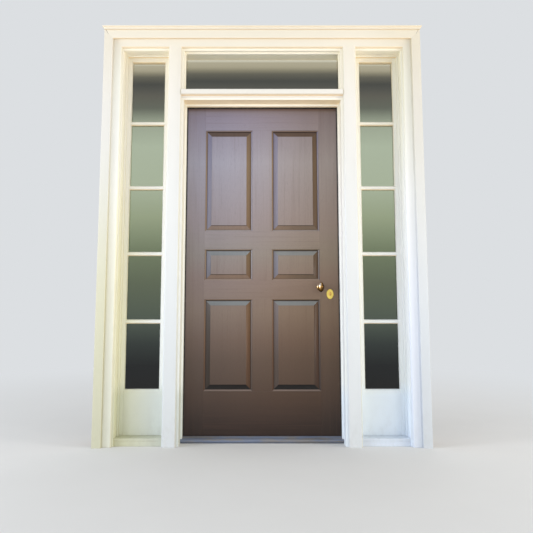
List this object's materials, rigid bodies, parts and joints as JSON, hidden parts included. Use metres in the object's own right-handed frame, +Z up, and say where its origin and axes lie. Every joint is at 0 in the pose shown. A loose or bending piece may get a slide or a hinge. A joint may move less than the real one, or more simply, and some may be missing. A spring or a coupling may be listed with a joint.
{
  "type": "front door with frame",
  "caption": "Panelled timber front door hinged in a cased frame with divided sidelights, a transom light, a drip cap, an oval knob and an oval key plate.",
  "frame": {"origin": "middle of the threshold's underside, in the plane of the leaf's outside face", "axes": "+X to the right seen from outside, +Y into the house, +Z up"},
  "size_m": [1.979, 0.2862, 2.531],
  "materials": {
    "painted_trim": "cream gloss paint on timber",
    "door_timber": "dark varnished hardwood",
    "threshold_timber": "worn grey paint",
    "window_glass": "clear float glass",
    "seal_rubber": "dull black",
    "plated_steel": "zinc plated",
    "hinge_brass": "dull brass",
    "bolt_brass": "satin brass",
    "aged_bronze": "aged bronze, handled",
    "bright_brass": "polished brass"
  },
  "bodies": {
    "frame": {"casing_left": "painted_trim", "casing_right": "painted_trim", "casing_head": "painted_trim", "post_left": "painted_trim", "post_right": "painted_trim", "backband_left": "painted_trim", "backband_right": "painted_trim", "backband_head": "painted_trim", "drip_cap": "painted_trim", "jamb_head": "painted_trim", "jamb_left": "painted_trim", "jamb_right": "painted_trim", "mull_posts": "painted_trim", "door_jamb_hinge": "painted_trim", "door_jamb_lock": "painted_trim", "door_jamb_strike": "painted_trim", "strike_plate": "plated_steel", "transom_rail": "painted_trim", "transom_sill": "painted_trim", "transom_cove": "painted_trim", "transom_stops": "painted_trim", "transom_glass": "window_glass", "threshold": "threshold_timber", "door_stops": "painted_trim", "door_stop_head": "painted_trim", "door_seal": "seal_rubber", "sidelight_bases": "painted_trim", "sidelight_stops": "painted_trim", "sidelight_stop_heads": "painted_trim", "sidelight_stiles_left": "painted_trim", "sidelight_stiles_right": "painted_trim", "sidelight_rails": "painted_trim", "sidelight_muntins": "painted_trim", "sidelight_beads": "painted_trim", "sidelight_glass_left": "window_glass", "sidelight_glass_right": "window_glass", "hinge_leaves_frame": "hinge_brass", "hinge_pins": "hinge_brass"},
    "leaf": {"hinge_stile": "door_timber", "lock_stile": "door_timber", "mullions": "door_timber", "top_rail": "door_timber", "upper_rail": "door_timber", "lock_rail": "door_timber", "bottom_rail": "door_timber", "panels_upper": "door_timber", "panels_middle": "door_timber", "panels_lower": "door_timber", "door_sweep": "seal_rubber", "hinge_leaves_door": "hinge_brass", "lock_case": "plated_steel", "roses": "aged_bronze", "escutcheon": "bright_brass"},
    "knobs": {"knob_outside": "aged_bronze", "knob_inside": "aged_bronze", "spindle": "plated_steel"},
    "latch": {"latch_bolt": "bolt_brass"},
    "dead_bolt": {"dead_bolt": "bolt_brass"},
    "turn": {"thumb_turn": "aged_bronze"},
    "cover": {"keyhole_cover": "bright_brass"}
  },
  "joints": [
    {"name": "leaf_swing", "type": "hinge", "parent": "frame", "child": "leaf", "pos_m": [-0.484, 0.051, 1], "axis": [0, 0, 1], "range_deg": [0, 105]},
    {"name": "knob_turn", "type": "hinge", "parent": "leaf", "child": "knobs", "pos_m": [0.3585, 0, 0.9205], "axis": [0, 1, 0], "range_deg": [0, 60]},
    {"name": "latch_throw", "type": "slide", "parent": "leaf", "child": "latch", "axis": [1, 0, 0], "range_m": [0, 0.012]},
    {"name": "turn_turn", "type": "hinge", "parent": "leaf", "child": "turn", "pos_m": [0.417, 0, 0.878], "axis": [0, 1, 0], "range_deg": [0, 90]},
    {"name": "bolt_throw", "type": "slide", "parent": "leaf", "child": "dead_bolt", "axis": [1, 0, 0], "range_m": [0, 0.02]},
    {"name": "cover_swing", "type": "hinge", "parent": "leaf", "child": "cover", "pos_m": [0.417, -0.003, 0.894], "axis": [0, 1, 0], "range_deg": [-75, 75]}
  ],
  "couplings": [
    {"joint": "latch_throw", "follows": "knob_turn", "m_per_rad": 0.0113},
    {"joint": "turn_turn", "follows": "bolt_throw", "rad_per_m": 78}
  ]
}
